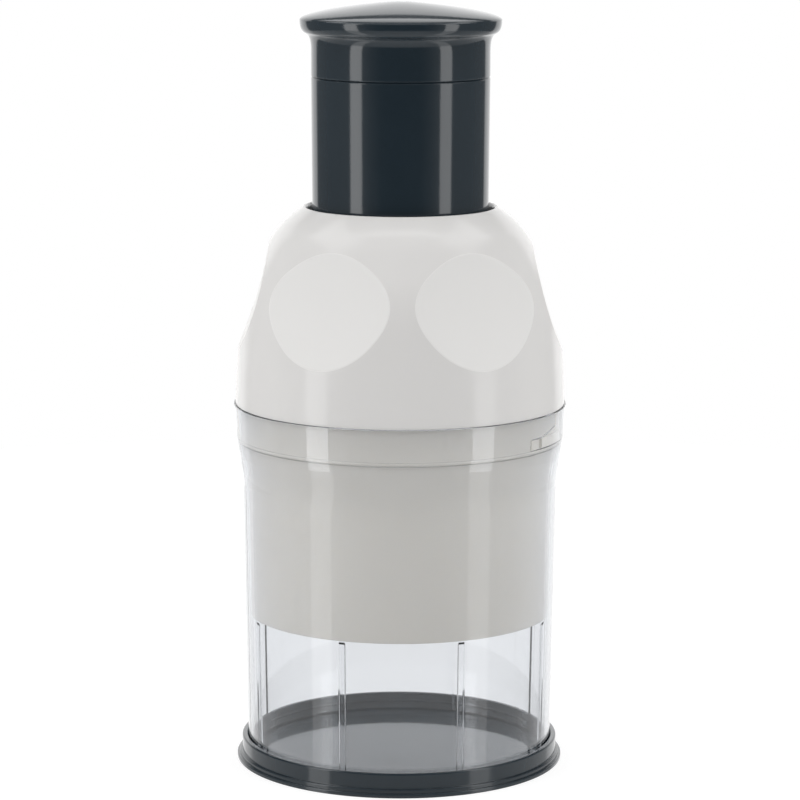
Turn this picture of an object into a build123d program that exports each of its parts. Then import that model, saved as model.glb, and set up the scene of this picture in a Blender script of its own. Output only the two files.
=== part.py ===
from build123d import *
import math
import os

# Plunger food chopper: a clear container on a push-fit base, a white head with
# finger dishes and a guard cup, and a sprung handle that pushes a zigzag blade
# through a slotted scraper disc and turns it a little at every stroke.
# Millimetres, +Z up, origin at the centre of the base on the table, front at -Y.
# Heights are stacked from the base floor upwards.

# Clearances
GAP = 0.3            # between pieces that move against each other
FIT = 0.05           # between pieces that are fixed together
BEARING_FIT = 0.08   # round journal in its bearing
THREAD_FIT = 0.2     # fluted rod in the index ring
CUT = 1.0            # how far a cut runs past the face that it opens

# Base cap
FLOOR_T = 2.0
RIM_WALL = 1.7
RIM_H = 9.3
RIM_ROUND = 1.2
FLANGE_W = 1.6
FLANGE_T = 2.5
FLANGE_STEP = 0.8    # the flange's upper tier is this much narrower
FLANGE_LOW_T = 1.3
FLANGE_ROUND = 0.5
UNDERSIDE_D = 0.8
FOOT_W = 6.0

# Clear container
TUBE_R = 47.5        # outside radius at its foot
TUBE_WALL = 1.4
TUBE_DRAFT = 1.3     # how much wider the tube is where the flare starts
FLARE_H = 14.2
FLARE_W = 2.25
FLARE_PULL = 0.2     # of the outer flare's height, kept straight at its ends
S_PULL = 0.45        # the same, of the smooth steps inside
COLLAR_RISE = 4.0    # the outer flare ends this far above the ledge
COLLAR_WALL = 1.65
COLLAR_DRAFT = 0.55
COLLAR_H = 11.3      # ledge to the seam under the housing
LEDGE_W = 0.8
RIB_COUNT = 8
RIB_W = 2.1
RIB_D = 1.2
RIB_TOP_SLOPE = 1.6

# Bayonet between the container's collar and the cup's skirt
LUG_COUNT = 2
LUG_BEARING = 67.1   # middle of the first lug, degrees right of the front
LUG_ARC = 18.0
LUG_D = 0.9
LUG_H = 3.0
LUG_ABOVE_LEDGE = 1.6
LOCK_TURN = 22.0     # twist from locked to free
END_PLAY = 1.7       # degrees beside a lug
RAMP_RISE = 2.3

# Guard cup and scraper
FOOD_DEPTH = 45.0    # base floor to the cup's rim
CUP_WALL = 1.3
CUP_LIP_T = 1.2
CUP_LIP_W = 1.4
SKIRT_OVERLAP = 4.5  # skirt above the seam, inside the housing
SCRAPER_T = 2.5
RETAINER_T = 1.2
RETAINER_W = 1.5

# Blade and carrier
BLADE_MARGIN = 4.2   # from the reach of the zigzag to the cup's bore
ZIGZAG = ((0.90, -0.34), (0.54, 0.70), (0.18, -0.62))  # half of it, in reaches
BLADE_T = 0.8
BLADE_H = 28.0
BLADE_GRIP = 5.0     # depth of the blade in the carrier's web
BEVEL_H = 1.4
BEVEL_SHARE = 0.42   # of the blade's thickness, taken off each side
EDGE_LIFT = 0.7      # cutting edge above the scraper's underside, at rest
EDGE_CLEAR = 0.5     # cutting edge above the base floor, pressed down
WEB_T = 2.4
PLATE_T = 2.4
PLATE_W = 7.0
HUB_R = 9.5
HUB_H = 6.5
PIN_R = 1.25
PIN_INSET = 0.5      # pin's ends below the hub's surface

# Plunger rod
ROD_R = 4.0
FLUTE_SIDE = 6.6     # the fluted length is a twisted square bar
FLUTE_CORNER = 1.0
TWIST = 1.25         # degrees per millimetre
ROD_HEAD_R = 6.0
ROD_HEAD_T = 3.0

# Bridge, index ring and ratchet
LEDGE_ABOVE_PLATE = 3.7
HUB_ROOM = 0.5       # hub to the bridge, at rest
BRIDGE_FLOOR_T = 2.0
POCKET_R = 19.0
POCKET_WALL = 3.5
ARM_COUNT = 3
ARM_W = 11.0
ARM_T = 3.0
ARM_END = 1.5        # arm beyond the post's edge
ARM_ROUND = 3.0
POST_R = 3.4
SCREW_R = 1.6
SCREW_HEAD_R = 3.0
SCREW_HEAD_T = 2.0
SCREW_HEAD_ROUND = 0.4  # of the head's height
SCREW_L = 10.0
RING_TEETH = 12
RING_R = 14.0
TOOTH_D = 1.4
TOOTH_FACE = 0.12    # of a tooth's pitch, taken by its steep face
RING_T = 4.3
JOURNAL_R = 8.5
PAWL_COUNT = 2
PAWL_T = 1.0
PAWL_ARC = 62.0
PAWL_ROOT_ARC = 8.0
PAWL_TIP_ARC = 4.0
PAWL_ROOM = 2.0      # teeth to a pawl's arm
COVER_T = 1.8
COVER_SCREW_R = 1.1
COVER_SCREW_HEAD_R = 1.6
COVER_SCREW_END = 1.0  # screw's end above the pocket's floor
SPIGOT_WALL = 2.0
SPIGOT_H = 1.5
BORE_ROOM = 0.6      # round the fluted rod's corners

# Return spring
SPRING_R = 8.6
SPRING_WIRE_R = 0.65
SPRING_TURNS = 9

# Handle
SLEEVE_R = 27.5      # at the seam under the cap
SLEEVE_TAPER = 0.4
SLEEVE_WALL = 1.8
SLEEVE_FLANGE_W = 6.0
SLEEVE_FLANGE_T = 3.0
BUFFER_T = 1.5
BUFFER_W = 5.0
BUFFER_EDGE = 2.0    # soft rings inside the flange's edge
BUMPER_FIT = 0.15
SEAM_GROOVE = 0.35
CAP_SKIRT_H = 12.9   # seam to the underside of the rim
CAP_OVERHANG = 3.5
CAP_DOME_H = 5.45
CAP_EDGE_H = 4.45
DOME_RISE = 2.45     # straight up from the rim before the dome turns in
DOME_LEVEL = 8.1     # radius over which the dome's top lies nearly level
CAP_COVE = 5.0
COVE_PULL = 0.84     # of the cove's height, before it turns outwards
COVE_REACH = 0.9
CAP_LIP_W = 1.6      # rounded underside of the rim
CAP_LIP_RISE = 0.5
CAP_WALL = 2.2
CAP_SPIGOT_H = 5.0
CORE_T = 7.0
CORE_BOSS_R = 8.6
CORE_SCREW_AT = 16.0
CORE_SCREW_BOSS_R = 3.4
HAND_ROOM = 6.3      # cap rim above the neck, pressed down

# Housing
HOUSING_WALL = 2.2
HOUSING_STEP = 0.5   # housing inside the container's lip
SHELL = (            # inside the largest radius, at shares of the height from seam to neck
    (0.12, 0.11), (0.42, 0.21), (1.52, 0.43), (2.76, 0.57), (5.59, 0.69), (9.13, 0.79), (13.52, 0.90),
)
SHELL_STEPS = 14     # places where the inside follows the outside
LIP_SLOPE = 0.7      # height over reach, where the shoulder meets the neck's lip
NECK_GAP = 1.2
NECK_LIP = 1.65
LIP_PULL = 0.7       # of the neck's lip, kept straight at its ends
NECK_COLLAR_WALL = 2.1
NECK_H = 12.6        # underside of the guide ring to the lip
GUIDE_H = 4.0
GUIDE_RIB_T = 2.4
GUIDE_RIB_REACH = 1.7  # of a rib into its slot
DISH_COUNT = 6
DISH_R = 116.0       # radius of the scoop, whose axis lies level across the dish
DISH_IN = 7.25       # deepest line, inside the housing's largest radius
DISH_SHARE = 0.565   # height of that line, of the housing's height
DISH_TILT = 15.8     # degrees that a dish faces upwards
DISH_EDGE = 0.5

# Radii that follow
RIM_IN_R = TUBE_R + GAP
RIM_R = RIM_IN_R + RIM_WALL
FLANGE_R = RIM_R + FLANGE_W
TUBE_TOP_R = TUBE_R + TUBE_DRAFT
COLLAR_R = TUBE_TOP_R + FLARE_W
LIP_R = COLLAR_R + COLLAR_DRAFT
COLLAR_BORE_R = COLLAR_R - COLLAR_WALL
LEDGE_R = COLLAR_BORE_R - LEDGE_W
SKIRT_R = COLLAR_BORE_R - GAP
LUG_R = SKIRT_R + LUG_D
HOUSING_R = LIP_R - HOUSING_STEP
POCKET_OUT_R = POCKET_R + POCKET_WALL
RING_ROOT_R = RING_R - TOOTH_D
FLUTE_R = FLUTE_SIDE / 2 * math.sqrt(2)
ROD_BORE_R = FLUTE_R + BORE_ROOM
SLEEVE_FLANGE_R = SLEEVE_R + SLEEVE_FLANGE_W
BUFFER_R = SLEEVE_FLANGE_R - BUFFER_EDGE
POST_AT = (SLEEVE_FLANGE_R + SKIRT_R - CUP_WALL) / 2
NECK_R = SLEEVE_R + NECK_GAP
GUIDE_IN_R = SLEEVE_R + GAP
CAP_RIM_R = SLEEVE_R + CAP_OVERHANG
CORE_R = SLEEVE_R - SLEEVE_TAPER - SLEEVE_WALL

# Heights that follow, from the table up
FOOT_Z = FLOOR_T + GAP
CUP_RIM_Z = FLOOR_T + FOOD_DEPTH
SCRAPER_Z = CUP_RIM_Z + CUP_LIP_T + GAP
SCRAPER_TOP_Z = SCRAPER_Z + SCRAPER_T
EDGE_Z = SCRAPER_Z + EDGE_LIFT
STROKE = EDGE_Z - FLOOR_T - EDGE_CLEAR
PLATE_Z = SCRAPER_TOP_Z + GAP + STROKE
HUB_TOP_Z = PLATE_Z + HUB_H
BRIDGE_Z = HUB_TOP_Z + HUB_ROOM
POCKET_Z = BRIDGE_Z + BRIDGE_FLOOR_T
RING_Z = POCKET_Z + GAP
COVER_Z = RING_Z + RING_T + GAP
SPRING_Z = COVER_Z + COVER_T
ARM_TOP_Z = BRIDGE_Z + ARM_T
LEDGE_Z = PLATE_Z + LEDGE_ABOVE_PLATE
FLARE_Z = LEDGE_Z - FLARE_H
SEAM_Z = LEDGE_Z + COLLAR_H
SLEEVE_Z = ARM_TOP_Z + BUFFER_T + GAP + STROKE
SLEEVE_FLANGE_Z = SLEEVE_Z + SLEEVE_FLANGE_T
GUIDE_Z = SLEEVE_FLANGE_Z + BUFFER_T + GAP
NECK_Z = GUIDE_Z + NECK_H
RIM_UNDER_Z = NECK_Z + HAND_ROOM + STROKE
CAP_Z = RIM_UNDER_Z - CAP_SKIRT_H
CORE_TOP_Z = CAP_Z - CAP_SPIGOT_H
CORE_Z = CORE_TOP_Z - CORE_T
HEAD_SEAT_Z = CORE_TOP_Z - ROD_HEAD_T - 2 * GAP
FLUTE_TOP_Z = COVER_Z + COVER_T + SPIGOT_H + STROKE
HOUSING_H = NECK_Z - SEAM_Z


def face_rz(points):
    """Closed face in the radius-height plane from straight sides."""
    return Plane.XZ * make_face(Polyline(*points, close=True))


def turned(face, arc=360.0, start=0.0):
    """Face in the radius-height plane turned about the axis."""
    return Rot(0, 0, start) * revolve(face, Axis.Z, revolution_arc=arc)


def ring(r_in, r_out, z0, z1):
    """Plain ring with a rectangular section."""
    if r_in <= 0:
        return Pos(0, 0, z0) * Cylinder(r_out, z1 - z0, align=(Align.CENTER, Align.CENTER, Align.MIN))
    return turned(face_rz([(r_in, z0), (r_out, z0), (r_out, z1), (r_in, z1)]))


def sector(r_in, r_out, z0, z1, start, arc):
    """Part of a ring, from a start angle over an arc, in degrees."""
    return turned(face_rz([(r_in, z0), (r_out, z0), (r_out, z1), (r_in, z1)]), arc, start)


def from_front(bearing):
    """Angle about +Z of a bearing measured from the front towards the right."""
    return bearing - 90.0


def around(count, first=0.0):
    """Evenly spaced bearings, as angles about +Z."""
    return [from_front(first + i * 360.0 / count) for i in range(count)]


def place(r, angle, z):
    """Location at a radius and an angle, with its X axis pointing outwards."""
    return Rot(0, 0, angle) * Pos(r, 0, z)


def rod(r, z0, z1, at=0.0, angle=0.0):
    """Upright cylinder at a radius and an angle from the axis."""
    return place(at, angle, z0) * Cylinder(r, z1 - z0, align=(Align.CENTER, Align.CENTER, Align.MIN))


def circle_at(solid, r, z):
    """Edges of a turned solid that run at one radius and height."""
    return [
        e for e in solid.edges().filter_by(GeomType.CIRCLE)
        if abs(e.radius - r) < 1e-3 and abs(e.center().Z - z) < 1e-3
    ]


def s_curve(r0, z0, r1, z1, pull=S_PULL):
    """Smooth step between two radii, upright at both ends."""
    k = pull * (z1 - z0)
    return Bezier((r0, z0), (r0, z0 + k), (r1, z1 - k), (r1, z1))


def tube_inner_r(z):
    """Inside radius of the container's tube, which widens evenly upwards."""
    return TUBE_R - TUBE_WALL + TUBE_DRAFT * (z - FOOT_Z) / (FLARE_Z - FOOT_Z)


def zigzag_points():
    """Corners of the blade's line, the same when turned by half a turn."""
    reach = cup_bore_r() - BLADE_MARGIN
    half = [(reach * x, reach * y) for x, y in ZIGZAG]
    return half + [(-x, -y) for x, y in reversed(half)]


def zigzag_strip(width, z0, z1):
    """Upright strip of one thickness along the blade's line."""
    points = zigzag_points()
    plan = Sketch()
    for a, b in zip(points, points[1:]):
        along = Vector(*b) - Vector(*a)
        middle = (Vector(*a) + Vector(*b)) / 2
        turn = math.degrees(math.atan2(along.Y, along.X))
        plan += Pos(middle.X, middle.Y) * Rot(0, 0, turn) * SlotCenterToCenter(along.length, width)
    return Pos(0, 0, z0) * extrude(plan, z1 - z0)


def base_cap():
    """Round floor in an upstanding rim, on a wider flange in two tiers."""
    tier_r = FLANGE_R - FLANGE_STEP
    outline = face_rz([
        (0, UNDERSIDE_D), (FLANGE_R - FOOT_W, UNDERSIDE_D), (FLANGE_R - FOOT_W, 0), (FLANGE_R, 0),
        (FLANGE_R, FLANGE_LOW_T), (tier_r, FLANGE_LOW_T), (tier_r, FLANGE_T), (RIM_R, FLANGE_T),
        (RIM_R, RIM_H), (RIM_IN_R, RIM_H), (RIM_IN_R, FLOOR_T), (0, FLOOR_T),
    ])
    cap = turned(outline)
    cap = fillet(circle_at(cap, RIM_R, RIM_H), RIM_ROUND)
    return fillet(circle_at(cap, FLANGE_R, FLANGE_LOW_T) + circle_at(cap, tier_r, FLANGE_T), FLANGE_ROUND)


def container():
    """Tapered tube with a flared collar, inner ribs and bayonet grooves."""
    top = SEAM_Z - GAP / 2
    with_collar = make_face(Curve() + [
        Line((TUBE_R, FOOT_Z), (TUBE_TOP_R, FLARE_Z)),
        s_curve(TUBE_TOP_R, FLARE_Z, COLLAR_R, LEDGE_Z + COLLAR_RISE, FLARE_PULL),
        Polyline((COLLAR_R, LEDGE_Z + COLLAR_RISE), (LIP_R, top), (COLLAR_BORE_R, top),
                 (COLLAR_BORE_R, LEDGE_Z), (LEDGE_R, LEDGE_Z)),
        s_curve(tube_inner_r(FLARE_Z), FLARE_Z, LEDGE_R, LEDGE_Z),
        Polyline((tube_inner_r(FLARE_Z), FLARE_Z), (tube_inner_r(FOOT_Z), FOOT_Z), (TUBE_R, FOOT_Z)),
    ])
    body = turned(Plane.XZ * with_collar)
    for angle in around(RIB_COUNT, 180.0 / RIB_COUNT):
        body += Rot(0, 0, angle) * rib()
    for angle in around(LUG_COUNT, LUG_BEARING):
        body -= bayonet_groove(angle)
    return body


def rib():
    """Upright rib inside the tube, sloped at its top, under the cup's rim."""
    z1 = CUP_RIM_Z - GAP
    r0 = tube_inner_r(FOOT_Z)
    r1 = tube_inner_r(z1)
    root = TUBE_WALL / 2
    side = face_rz([
        (r0 + root, FOOT_Z), (r1 + root, z1), (r1, z1), (r1 - RIB_D, z1 - RIB_TOP_SLOPE),
        (r0 - RIB_D, FOOT_Z),
    ])
    return extrude(side, RIB_W / 2, both=True)


def bayonet_groove(angle):
    """L-shaped groove: level part with a ramped roof, then a way out to the top."""
    closed = -LUG_ARC / 2 - END_PLAY
    corner = LUG_ARC / 2 + END_PLAY
    out = corner + LOCK_TURN + END_PLAY
    arc = out - closed
    middle = (closed + out) / 2
    z0 = LEDGE_Z + LUG_ABOVE_LEDGE - GAP
    roof = z0 + LUG_H + 2 * GAP
    r_groove = LUG_R + GAP

    def along(bearing):
        return r_groove * math.sin(math.radians(bearing - middle))

    side = Plane.XZ * make_face(Polyline(
        (along(closed), z0), (along(closed), roof), (along(corner), roof + RAMP_RISE),
        (along(corner), SEAM_Z + CUT), (along(out), SEAM_Z + CUT), (along(out), z0), close=True))
    shape = Rot(0, 0, 90) * extrude(side, 2 * r_groove)
    band = sector(COLLAR_BORE_R - CUT, r_groove, z0, SEAM_Z + CUT, -arc, 2 * arc)
    return Rot(0, 0, angle + middle) * (shape & band)


def guard_cup():
    """Cup that hides the raised blade, widening to the skirt in the collar."""
    lip_r = tube_inner_r(CUP_RIM_Z) - GAP
    wide_r = tube_inner_r(FLARE_Z) - GAP
    shoulder_r = LEDGE_R - GAP
    top = SEAM_Z + SKIRT_OVERLAP
    step = LEDGE_Z + GAP
    outline = make_face(Curve() + [
        Line((lip_r, CUP_RIM_Z), (wide_r, FLARE_Z)),
        s_curve(wide_r, FLARE_Z, shoulder_r, LEDGE_Z),
        Polyline((shoulder_r, LEDGE_Z), (shoulder_r, step), (SKIRT_R, step), (SKIRT_R, top),
                 (SKIRT_R - CUP_WALL, top), (SKIRT_R - CUP_WALL, step + CUP_WALL),
                 (shoulder_r - CUP_WALL, LEDGE_Z)),
        s_curve(wide_r - CUP_WALL, FLARE_Z, shoulder_r - CUP_WALL, LEDGE_Z),
        Polyline((wide_r - CUP_WALL, FLARE_Z), (lip_r - CUP_WALL, CUP_RIM_Z + CUP_LIP_T),
                 (cup_bore_r() - CUP_LIP_W, CUP_RIM_Z + CUP_LIP_T), (cup_bore_r() - CUP_LIP_W, CUP_RIM_Z),
                 (lip_r, CUP_RIM_Z)),
    ])
    cup = turned(Plane.XZ * outline)
    z0 = LEDGE_Z + LUG_ABOVE_LEDGE
    for angle in around(LUG_COUNT, LUG_BEARING):
        cup += sector(SKIRT_R - CUP_WALL / 2, LUG_R, z0, z0 + LUG_H, angle - LUG_ARC / 2, LUG_ARC)
    return cup


def cup_bore_r():
    """Inside radius of the cup at its lip."""
    return tube_inner_r(CUP_RIM_Z) - GAP - CUP_WALL


def scraper_disc():
    """Disc in the cup's mouth, slotted for the blade and its web."""
    disc = ring(0, cup_bore_r() - GAP, SCRAPER_Z, SCRAPER_TOP_Z)
    return disc - zigzag_strip(WEB_T + 2 * GAP, SCRAPER_Z - CUT, SCRAPER_TOP_Z + CUT)


def scraper_retainer():
    """Snap ring that keeps the scraper disc in the cup."""
    z0 = SCRAPER_TOP_Z + GAP
    return ring(cup_bore_r() - RETAINER_W, cup_bore_r() - FIT, z0, z0 + RETAINER_T)


def blade():
    """Zigzag steel strip, bevelled on both sides at its lower edge."""
    strip = zigzag_strip(BLADE_T, EDGE_Z, EDGE_Z + BLADE_H)
    low = strip.edges().group_by(Axis.Z)[0]
    return chamfer(low, BEVEL_SHARE * BLADE_T, BEVEL_H, reference=strip.faces().sort_by(Axis.Z)[0])


def blade_carrier():
    """Plastic web over the blade, with a stiff top plate and a hub."""
    grip_z = EDGE_Z + BLADE_H - BLADE_GRIP
    body = zigzag_strip(WEB_T, grip_z, PLATE_Z + PLATE_T)
    body += zigzag_strip(PLATE_W, PLATE_Z, PLATE_Z + PLATE_T)
    body += rod(HUB_R, PLATE_Z, HUB_TOP_Z)
    body -= zigzag_strip(BLADE_T + 2 * FIT, grip_z - CUT, EDGE_Z + BLADE_H + FIT)
    body -= rod(ROD_R + FIT, PLATE_Z + PLATE_T, HUB_TOP_Z + CUT)
    return body - cross_pin_shape(PIN_R + FIT, HUB_R + CUT)


def cross_pin_shape(r, half_length):
    """Level cylinder through the middle of the hub."""
    z = PLATE_Z + PLATE_T + (HUB_H - PLATE_T) / 2
    return Pos(0, 0, z) * Rot(0, 90, 0) * Cylinder(r, 2 * half_length)


def rod_pin():
    """Pin that holds the rod in the hub."""
    return cross_pin_shape(PIN_R, HUB_R - PIN_INSET)


def fluted_bar(side, z0, z1):
    """Twisted square bar, in step with the rod at every height."""
    start = TWIST * (z0 - HUB_TOP_Z)
    plan = Plane.XY.offset(z0) * Rot(0, 0, start) * RectangleRounded(side, side, FLUTE_CORNER)
    return Solid.extrude_linear_with_rotation(
        plan.face(), (0, 0, z0), (0, 0, z1 - z0), TWIST * (z1 - z0))


def plunger_rod():
    """Steel rod: round foot and neck, fluted middle, and a head for the handle."""
    foot_z = PLATE_Z + PLATE_T + FIT
    bar = rod(ROD_R, foot_z, HUB_TOP_Z)
    bar += fluted_bar(FLUTE_SIDE, HUB_TOP_Z, FLUTE_TOP_Z)
    bar += rod(ROD_R, FLUTE_TOP_Z, HEAD_SEAT_Z + GAP)
    bar += rod(ROD_HEAD_R, HEAD_SEAT_Z + GAP, HEAD_SEAT_Z + GAP + ROD_HEAD_T)
    return bar - cross_pin_shape(PIN_R + FIT, HUB_R)


def bridge():
    """Three-armed plate with the index ring's pocket in its middle."""
    wall_top = COVER_Z
    body = ring(0, POCKET_OUT_R, BRIDGE_Z, POCKET_Z) + ring(POCKET_R, POCKET_OUT_R, BRIDGE_Z, wall_top)
    inner = POCKET_R + POCKET_WALL / 2
    length = POST_AT + POST_R + ARM_END - inner
    arm = Box(length, ARM_W, ARM_T, align=(Align.MIN, Align.CENTER, Align.MIN))
    arm = fillet(arm.edges().filter_by(Axis.Z).group_by(Axis.X)[-1], ARM_ROUND)
    for angle in around(ARM_COUNT):
        body += place(inner, angle, BRIDGE_Z) * arm
    for angle in around(ARM_COUNT):
        body -= rod(SCREW_R + FIT, BRIDGE_Z - CUT, ARM_TOP_Z + CUT, POST_AT, angle)
    for angle in around(ARM_COUNT, 180.0 / ARM_COUNT):
        body -= rod(COVER_SCREW_R + FIT, POCKET_Z, COVER_Z + CUT, cover_screw_at(), angle)
    return body - ring(0, JOURNAL_R + BEARING_FIT, BRIDGE_Z - CUT, POCKET_Z + CUT)


def cover_screw_at():
    """Radius of the cover's screws, in the middle of the pocket's wall."""
    return POCKET_R + POCKET_WALL / 2


def screw(r, head_r, head_t, length):
    """Pan-head screw pointing up, with the underside of its head at zero."""
    head = Pos(0, 0, -head_t) * Cylinder(head_r, head_t, align=(Align.CENTER, Align.CENTER, Align.MIN))
    head = fillet(head.edges().group_by(Axis.Z)[0], head_t * SCREW_HEAD_ROUND)
    return head + Cylinder(r, length, align=(Align.CENTER, Align.CENTER, Align.MIN))


def bridge_screws():
    """Screws from below through the bridge's arms into the housing's posts."""
    one = screw(SCREW_R, SCREW_HEAD_R, SCREW_HEAD_T, SCREW_L)
    return Compound([place(POST_AT, angle, BRIDGE_Z) * one for angle in around(ARM_COUNT)])


def index_ring():
    """Ratchet ring turned by the rod's flutes, on a journal in the bridge."""
    points = []
    step = 360.0 / RING_TEETH
    for i in range(RING_TEETH):
        tip = math.radians(i * step)
        root = math.radians(i * step + step * TOOTH_FACE)
        points.append((RING_R * math.cos(tip), RING_R * math.sin(tip)))
        points.append((RING_ROOT_R * math.cos(root), RING_ROOT_R * math.sin(root)))
    body = Pos(0, 0, RING_Z) * extrude(make_face(Polyline(*points, close=True)), RING_T)
    body += ring(0, JOURNAL_R, BRIDGE_Z + GAP, RING_Z)
    return body - fluted_bar(FLUTE_SIDE + 2 * THREAD_FIT, BRIDGE_Z - CUT, COVER_Z)


def ratchet_pawls():
    """Thin sprung arms that lie against the ratchet's teeth."""
    z0, z1 = POCKET_Z, POCKET_Z + RING_T
    r_tip = RING_R + GAP
    r_arm = RING_R + PAWL_ROOM
    one = sector(r_tip + GAP, POCKET_R - FIT, z0, z1, -PAWL_ROOT_ARC, PAWL_ROOT_ARC)
    one += sector(r_arm, r_arm + PAWL_T, z0, z1, -PAWL_ROOT_ARC / 2, PAWL_ARC)
    one += sector(r_tip, r_arm + PAWL_T, z0, z1, PAWL_ARC - PAWL_ROOT_ARC, PAWL_TIP_ARC)
    return Compound([Rot(0, 0, i * 360.0 / PAWL_COUNT) * one for i in range(PAWL_COUNT)])


def ratchet_cover():
    """Lid over the ratchet, with a spigot that centres the return spring."""
    body = ring(ROD_BORE_R, POCKET_OUT_R, COVER_Z, SPRING_Z)
    body += ring(ROD_BORE_R, ROD_BORE_R + SPIGOT_WALL, SPRING_Z, SPRING_Z + SPIGOT_H)
    for angle in around(ARM_COUNT, 180.0 / ARM_COUNT):
        body -= rod(COVER_SCREW_R + FIT, COVER_Z - CUT, SPRING_Z + CUT, cover_screw_at(), angle)
    return body


def cover_screws():
    """Screws that hold the ratchet cover on the bridge."""
    length = SPRING_Z - POCKET_Z - COVER_SCREW_END
    one = Rot(180, 0, 0) * screw(COVER_SCREW_R, COVER_SCREW_HEAD_R, COVER_SCREW_R, length)
    angles = around(ARM_COUNT, 180.0 / ARM_COUNT)
    return Compound([place(cover_screw_at(), angle, SPRING_Z) * one for angle in angles])


def return_spring():
    """Open coil spring from the ratchet cover to the handle's core."""
    z0 = SPRING_Z + SPRING_WIRE_R
    height = CORE_Z - 2 * FIT - SPRING_WIRE_R - z0
    path = Pos(0, 0, z0) * Helix(height / SPRING_TURNS, height, SPRING_R)
    section = Plane(path @ 0, z_dir=path % 0) * Circle(SPRING_WIRE_R)
    return sweep(section, path, is_frenet=True)


def stroke_buffer():
    """Soft ring on the bridge that ends the stroke."""
    return ring(BUFFER_R - BUFFER_W, BUFFER_R, ARM_TOP_Z, ARM_TOP_Z + BUFFER_T)


def return_bumper():
    """Soft ring on the sleeve's flange that ends the return."""
    r_in = SLEEVE_R - SLEEVE_TAPER + BUMPER_FIT
    return ring(r_in, BUFFER_R, SLEEVE_FLANGE_Z, SLEEVE_FLANGE_Z + BUFFER_T)


def guide_ring():
    """Bearing ring for the sleeve, under the housing's neck."""
    return ring(GUIDE_IN_R, NECK_R + NECK_COLLAR_WALL, GUIDE_Z, GUIDE_Z + GUIDE_H)


def handle_sleeve():
    """Tube that slides in the neck, with a keyed flange at its lower end."""
    low_r = SLEEVE_R - SLEEVE_TAPER
    body = turned(face_rz([
        (CORE_R, SLEEVE_Z), (SLEEVE_FLANGE_R, SLEEVE_Z), (SLEEVE_FLANGE_R, SLEEVE_FLANGE_Z),
        (low_r, SLEEVE_FLANGE_Z), (SLEEVE_R, CAP_Z - SEAM_GROOVE), (SLEEVE_R - SEAM_GROOVE, CAP_Z),
        (CORE_R, CAP_Z),
    ]))
    for angle in around(ARM_COUNT):
        slot = Box(SLEEVE_FLANGE_R, GUIDE_RIB_T + 2 * GAP, SLEEVE_FLANGE_T + 2 * CUT,
                   align=(Align.MIN, Align.CENTER, Align.MIN))
        body -= place(guide_rib_r() - GAP, angle, SLEEVE_Z - CUT) * slot
    return body


def guide_rib_r():
    """Inner edge of the guide ribs, in the slots of the sleeve's flange."""
    return SLEEVE_FLANGE_R - GUIDE_RIB_REACH


def handle_core():
    """Disc in the sleeve's top that carries the rod's head."""
    body = ring(ROD_R + BEARING_FIT, CORE_R - FIT, CORE_Z, CORE_TOP_Z)
    body -= ring(0, ROD_HEAD_R + GAP, HEAD_SEAT_Z, CORE_TOP_Z + CUT)
    for angle in around(ARM_COUNT):
        body -= rod(SCREW_R + FIT, CORE_Z - CUT, CORE_TOP_Z + CUT, CORE_SCREW_AT, angle)
    return body


def core_screws():
    """Screws from below through the core into the cap's bosses."""
    one = screw(SCREW_R, SCREW_HEAD_R, SCREW_HEAD_T, CORE_T + SCREW_L)
    return Compound([place(CORE_SCREW_AT, angle, CORE_Z) * one for angle in around(ARM_COUNT)])


def cap_outline():
    """Section of the cap's outside: straight skirt, cove, rounded rim and dome."""
    edge_z = RIM_UNDER_Z + CAP_EDGE_H
    top_z = edge_z + CAP_DOME_H
    cove_z = RIM_UNDER_Z - CAP_COVE
    lip_r = CAP_RIM_R - CAP_LIP_W
    lip_z = RIM_UNDER_Z + CAP_LIP_RISE
    return Curve() + [
        Polyline((0, CAP_Z), (SLEEVE_R - SEAM_GROOVE, CAP_Z), (SLEEVE_R, CAP_Z + SEAM_GROOVE),
                 (SLEEVE_R, cove_z)),
        Bezier((SLEEVE_R, cove_z), (SLEEVE_R, cove_z + COVE_PULL * CAP_COVE),
               (SLEEVE_R + COVE_REACH, RIM_UNDER_Z), (lip_r, lip_z)),
        Bezier((lip_r, lip_z), (CAP_RIM_R - CAP_LIP_W / 3, lip_z + CAP_LIP_RISE),
               (CAP_RIM_R, RIM_UNDER_Z + CAP_EDGE_H / 2), (CAP_RIM_R, edge_z)),
        Bezier((CAP_RIM_R, edge_z), (CAP_RIM_R, edge_z + DOME_RISE),
               (DOME_LEVEL, top_z), (0, top_z)),
        Line((0, top_z), (0, CAP_Z)),
    ]


def cap_bosses(z0, z1):
    """Screw bosses, and the boss that closes the pocket over the rod's head."""
    body = rod(CORE_BOSS_R, z0, z1)
    for angle in around(ARM_COUNT):
        body += rod(CORE_SCREW_BOSS_R, z0, z1, CORE_SCREW_AT, angle)
    return body


def handle_cap():
    """Domed push knob with a spigot, hollow around its bosses."""
    roof_z = RIM_UNDER_Z + CAP_EDGE_H
    body = turned(Plane.XZ * make_face(cap_outline()))
    body += ring(0, CORE_R - FIT, CORE_TOP_Z, CAP_Z)
    bosses = cap_bosses(CORE_TOP_Z, roof_z + CUT)
    body -= ring(0, CORE_R - CAP_WALL, CORE_TOP_Z, roof_z) - bosses
    for angle in around(ARM_COUNT):
        body -= rod(SCREW_R + FIT, CORE_TOP_Z - CUT, CORE_TOP_Z + SCREW_L + CUT, CORE_SCREW_AT, angle)
    return body


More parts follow.
